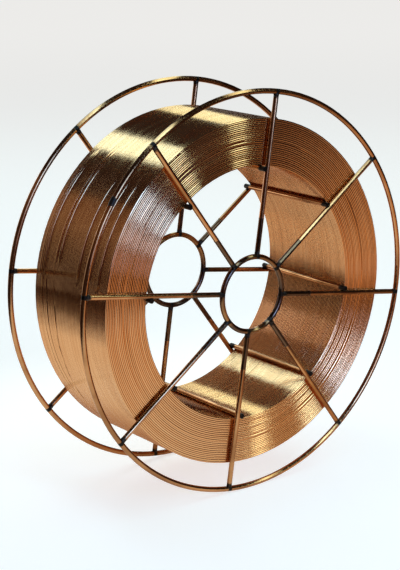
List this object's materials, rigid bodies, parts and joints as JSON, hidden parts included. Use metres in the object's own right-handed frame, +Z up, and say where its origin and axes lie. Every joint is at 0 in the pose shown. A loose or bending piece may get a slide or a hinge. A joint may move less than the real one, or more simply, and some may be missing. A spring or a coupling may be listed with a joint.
{
  "type": "welding wire spool",
  "caption": "Wire basket spool of copper-coated welding wire: two welded flanges of eight spokes with rim and hub ring, joined by eight crossbars, and a layer-wound coil.",
  "frame": {"origin": "on the spindle axis, half way between the two flanges", "axes": "+Z up, the spindle along Y, the front flange towards -Y; the spool stands on its two rims"},
  "size_m": [0.3, 0.098, 0.3],
  "materials": {
    "basket_wire": "drawn steel wire, copper-coated and glossy, darkened at the resistance welds",
    "welding_wire": "bright copper-coated drawn wire, layer wound, 1.4 mm"
  },
  "bodies": {
    "root": {"front_rim": "basket_wire", "back_rim": "basket_wire", "front_hub_ring": "basket_wire", "back_hub_ring": "basket_wire", "front_spoke_1": "basket_wire", "front_spoke_2": "basket_wire", "front_spoke_3": "basket_wire", "front_spoke_4": "basket_wire", "front_spoke_5": "basket_wire", "front_spoke_6": "basket_wire", "front_spoke_7": "basket_wire", "front_spoke_8": "basket_wire", "back_spoke_1": "basket_wire", "back_spoke_2": "basket_wire", "back_spoke_3": "basket_wire", "back_spoke_4": "basket_wire", "back_spoke_5": "basket_wire", "back_spoke_6": "basket_wire", "back_spoke_7": "basket_wire", "back_spoke_8": "basket_wire", "crossbar_1": "basket_wire", "crossbar_2": "basket_wire", "crossbar_3": "basket_wire", "crossbar_4": "basket_wire", "crossbar_5": "basket_wire", "crossbar_6": "basket_wire", "crossbar_7": "basket_wire", "crossbar_8": "basket_wire", "wire_coil": "welding_wire"}
  },
  "joints": []
}
